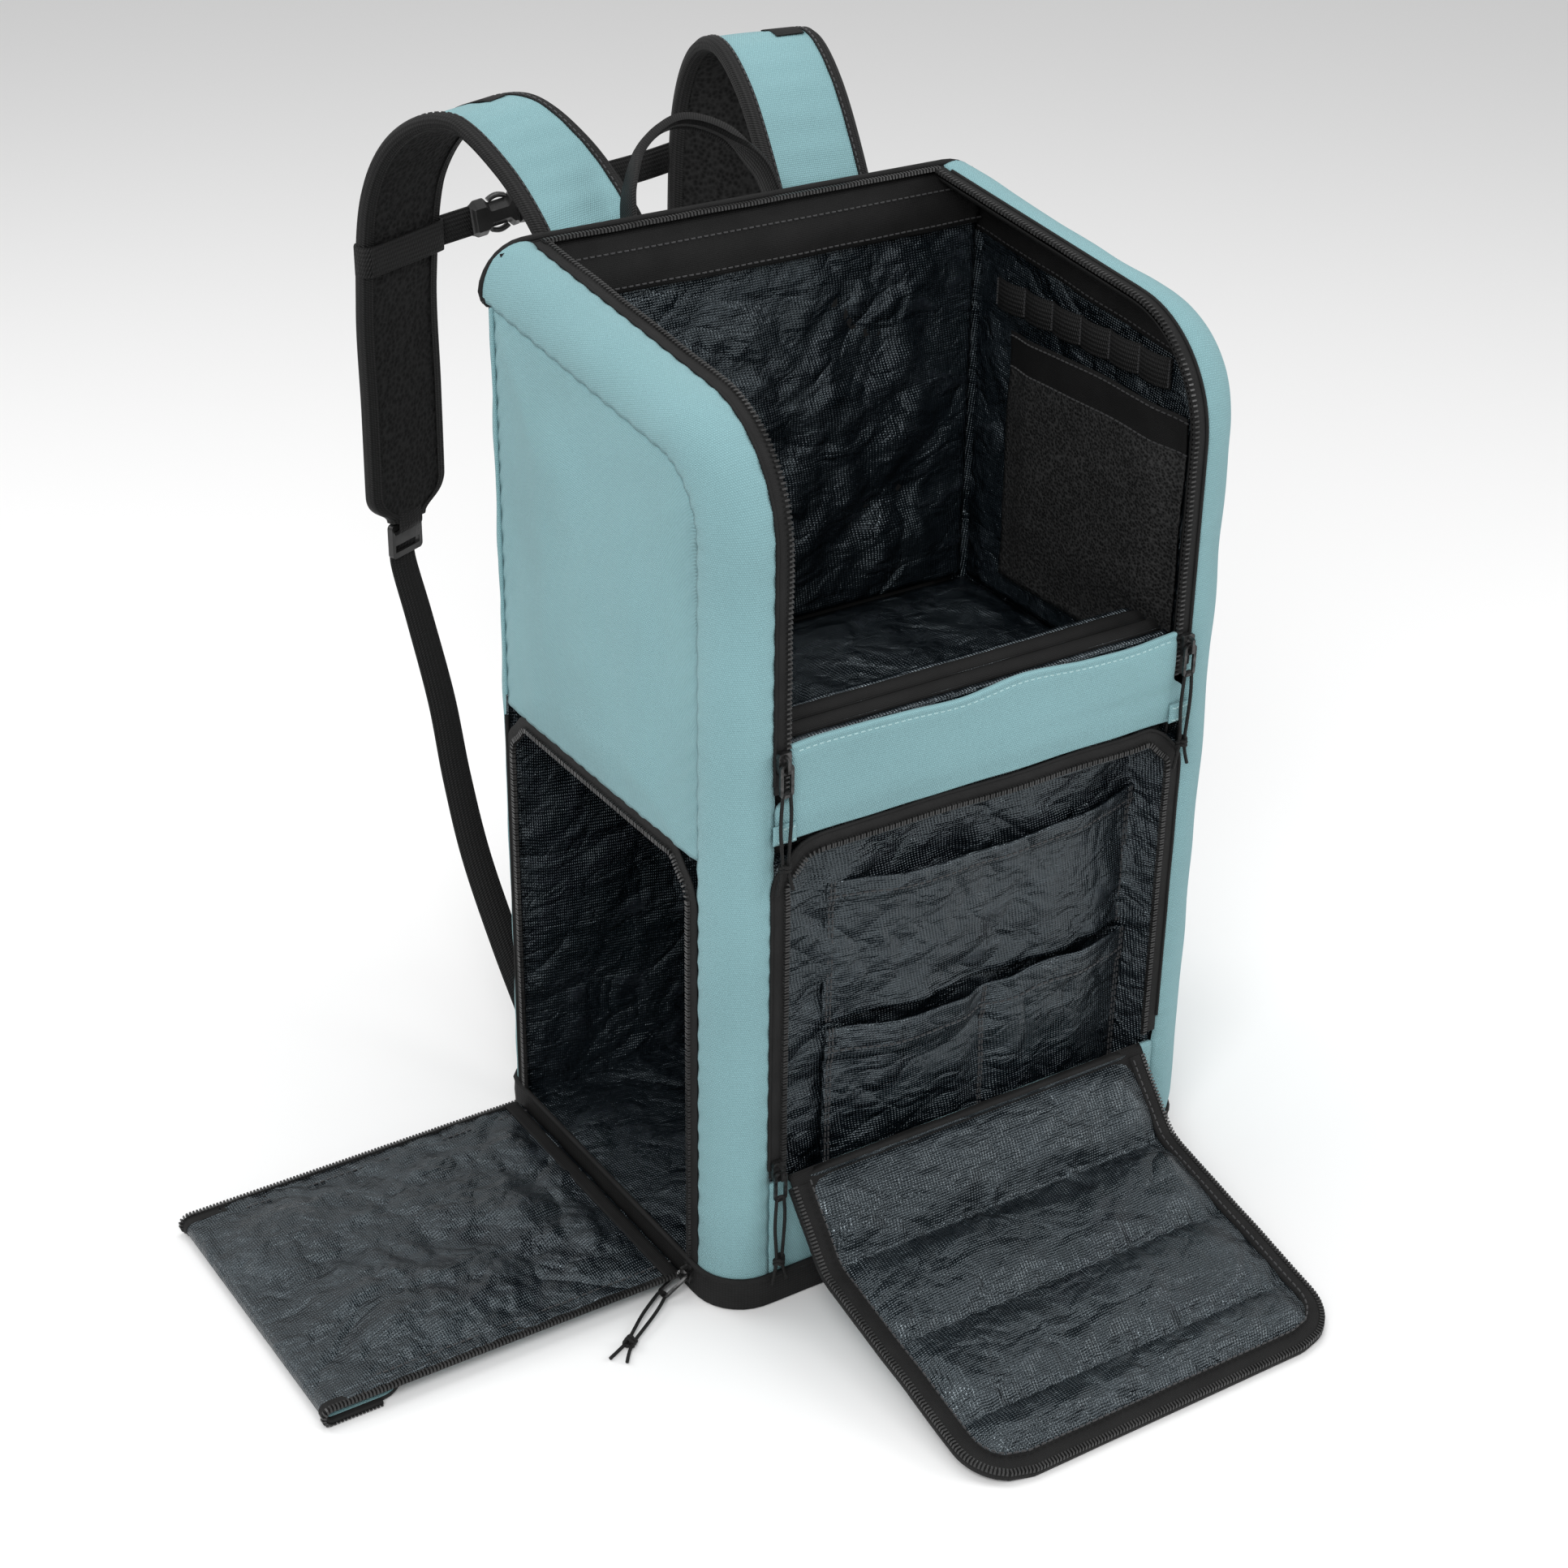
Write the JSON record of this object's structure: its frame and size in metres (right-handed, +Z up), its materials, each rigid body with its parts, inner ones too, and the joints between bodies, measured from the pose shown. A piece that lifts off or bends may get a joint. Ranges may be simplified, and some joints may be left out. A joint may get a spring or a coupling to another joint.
{
  "type": "ski boot bag",
  "caption": "Upright backpack for ski or snowboard boots: side boot door, top opening lid, front organizer pocket with flap, shoulder straps and chest strap.",
  "frame": {"origin": "middle of the bag body's base, on the floor", "axes": "+X to the right of someone facing the front, the front faces -Y, +Z up"},
  "size_m": [0.6027, 0.6605, 0.6646],
  "materials": {
    "teal_fabric": "matt twill with a soft sheen",
    "base_fabric": "matt coarse weave",
    "lining": "coated, crinkled, semi-gloss",
    "inner_mesh": "fine mesh",
    "stiffener": "plain sheet",
    "air_mesh": "spacer mesh",
    "zip_tape": "knitted tape with a plastic coil",
    "zip_metal": "satin black",
    "pull_cord": "braided",
    "strap_fabric": "twill face, bound edge, mesh underside",
    "webbing": "ribbed webbing",
    "black_plastic": "fine texture"
  },
  "bodies": {
    "bag": {"anchor_tabs": "base_fabric", "back_pad_left": "air_mesh", "back_pad_right": "air_mesh", "back_panel": "base_fabric", "base_panel": "base_fabric", "divider_floor": "lining", "door_zip": "zip_tape", "frame_sheet": "stiffener", "front_band": "teal_fabric", "front_gusset_left": "teal_fabric", "front_gusset_right": "teal_fabric", "front_skirt": "teal_fabric", "inner_pocket": "inner_mesh", "lining_back": "lining", "lining_left": "lining", "lining_right": "lining", "loop_webbing": "webbing", "lumbar_pad": "air_mesh", "main_zip_left": "zip_tape", "main_zip_right": "zip_tape", "organizer_lower": "lining", "organizer_upper": "lining", "pocket_wall": "lining", "pocket_zip": "zip_tape", "rear_corners": "teal_fabric", "side_panel_left": "teal_fabric", "side_panel_right": "teal_fabric", "strap_webbing_left": "webbing", "strap_webbing_right": "webbing", "strap_yoke": "base_fabric"},
    "lid_a": {"lid_a": "teal_fabric"},
    "lid_b": {"lid_b": "teal_fabric"},
    "lid_c": {"lid_c": "teal_fabric"},
    "lid_d": {"lid_d": "teal_fabric"},
    "lid_e": {"lid_e": "teal_fabric"},
    "lid_f": {"lid_f": "teal_fabric"},
    "flap_near": {"flap_near": "teal_fabric"},
    "flap_far": {"flap_far": "teal_fabric"},
    "door_lower": {"door_lower": "teal_fabric"},
    "door_upper": {"door_upper": "teal_fabric"},
    "grab_handle": {"grab_handle": "webbing"},
    "main_left_slider": {"main_left_slider": "zip_metal"},
    "main_left_ring": {"main_left_ring": "zip_metal", "main_left_cord": "pull_cord"},
    "main_right_slider": {"main_right_slider": "zip_metal"},
    "main_right_ring": {"main_right_ring": "zip_metal", "main_right_cord": "pull_cord"},
    "pocket_slider": {"pocket_slider": "zip_metal"},
    "pocket_ring": {"pocket_ring": "zip_metal", "pocket_cord": "pull_cord"},
    "door_slider": {"door_slider": "zip_metal"},
    "door_ring": {"door_ring": "zip_metal", "door_cord": "pull_cord"},
    "harness": {"shoulder_strap_left": "strap_fabric", "shoulder_strap_right": "strap_fabric", "ladder_locks": "black_plastic", "chest_sleeve": "webbing", "buckle_socket": "black_plastic"},
    "chest_plug": {"buckle_plug": "black_plastic", "chest_webbing": "webbing"}
  },
  "joints": [
    {"name": "lid_hinge", "type": "hinge", "parent": "bag", "child": "lid_a", "pos_m": [0, -0.131, 0.386], "axis": [1, 0, 0], "range_deg": [0, 180]},
    {"name": "lid_fold_b", "type": "hinge", "parent": "lid_a", "child": "lid_b", "pos_m": [0, -0.124, 0.316], "axis": [1, 0, 0], "range_deg": [-185.05, 0]},
    {"name": "lid_fold_c", "type": "hinge", "parent": "lid_b", "child": "lid_c", "pos_m": [0, -0.117, 0.386], "axis": [1, 0, 0], "range_deg": [0, 145.05]},
    {"name": "lid_fold_d", "type": "hinge", "parent": "lid_c", "child": "lid_d", "pos_m": [0, -0.11, 0.316], "axis": [1, 0, 0], "range_deg": [-215.05, 0]},
    {"name": "lid_unroll", "type": "hinge", "parent": "lid_d", "child": "lid_e", "pos_m": [0, -0.103, 0.386], "axis": [1, 0, 0], "range_deg": [0, 170]},
    {"name": "lid_fold_f", "type": "hinge", "parent": "lid_e", "child": "lid_f", "pos_m": [0, -0.096, 0.316], "axis": [1, 0, 0], "range_deg": [-184.05, 0]},
    {"name": "flap_hinge", "type": "hinge", "parent": "bag", "child": "flap_near", "pos_m": [0, -0.139, 0.09], "axis": [-1, 0, 0], "range_deg": [0, 138]},
    {"name": "flap_fold", "type": "hinge", "parent": "flap_near", "child": "flap_far", "pos_m": [0, -0.17789, 0.04365], "axis": [-1, 0, 0], "range_deg": [-37.12, 0]},
    {"name": "door_hinge", "type": "hinge", "parent": "bag", "child": "door_lower", "pos_m": [-0.1835, 0, 0.004], "axis": [0, 1, 0], "range_deg": [0, 90]},
    {"name": "door_fold", "type": "hinge", "parent": "door_lower", "child": "door_upper", "pos_m": [-0.4235, 0, 0.0065], "axis": [0, 1, 0], "range_deg": [0, 180.02]},
    {"name": "main_left_zip_run", "type": "slide", "parent": "bag", "child": "main_left_slider", "axis": [0, 0, 1], "range_m": [0, 0.115]},
    {"name": "main_left_ring_swing", "type": "hinge", "parent": "main_left_slider", "child": "main_left_ring", "pos_m": [-0.1437, -0.1429, 0.378], "axis": [1, 0, 0], "range_deg": [-110, 0]},
    {"name": "main_right_zip_run", "type": "slide", "parent": "bag", "child": "main_right_slider", "axis": [0, 0, 1], "range_m": [0, 0.115]},
    {"name": "main_right_ring_swing", "type": "hinge", "parent": "main_right_slider", "child": "main_right_ring", "pos_m": [0.1437, -0.1429, 0.378], "axis": [1, 0, 0], "range_deg": [-110, 0]},
    {"name": "pocket_zip_run", "type": "slide", "parent": "bag", "child": "pocket_slider", "axis": [0, 0, 1], "range_m": [0, 0.17]},
    {"name": "pocket_ring_swing", "type": "hinge", "parent": "pocket_slider", "child": "pocket_ring", "pos_m": [-0.1437, -0.1429, 0.1], "axis": [1, 0, 0], "range_deg": [-110, 0]},
    {"name": "door_zip_run", "type": "slide", "parent": "bag", "child": "door_slider", "axis": [0, 0, 1], "range_m": [0, 0.27]},
    {"name": "door_ring_swing", "type": "hinge", "parent": "door_slider", "child": "door_ring", "pos_m": [-0.1859, -0.101, 0.014], "axis": [0, -1, 0], "range_deg": [-50, 0]},
    {"name": "strap_swing", "type": "hinge", "parent": "bag", "child": "harness", "pos_m": [0, 0.143, 0.556], "axis": [1, 0, 0], "range_deg": [-25, 8]},
    {"name": "buckle_pull", "type": "slide", "parent": "harness", "child": "chest_plug", "axis": [0.9914, 0, 0.1305], "range_m": [0, 0.025]},
    {"name": "handle_swing", "type": "hinge", "parent": "bag", "child": "grab_handle", "pos_m": [0, 0.147, 0.59], "axis": [1, 0, 0], "range_deg": [-18, 28]}
  ],
  "couplings": [
    {"joint": "lid_fold_b", "follows": "lid_hinge", "ratio": -1.0278},
    {"joint": "lid_fold_c", "follows": "lid_hinge", "ratio": 0.8056},
    {"joint": "lid_fold_d", "follows": "lid_hinge", "ratio": -1.1944},
    {"joint": "lid_fold_f", "follows": "lid_unroll", "ratio": -1.0824},
    {"joint": "flap_fold", "follows": "flap_hinge", "ratio": -0.265},
    {"joint": "door_fold", "follows": "door_hinge", "ratio": 2}
  ]
}
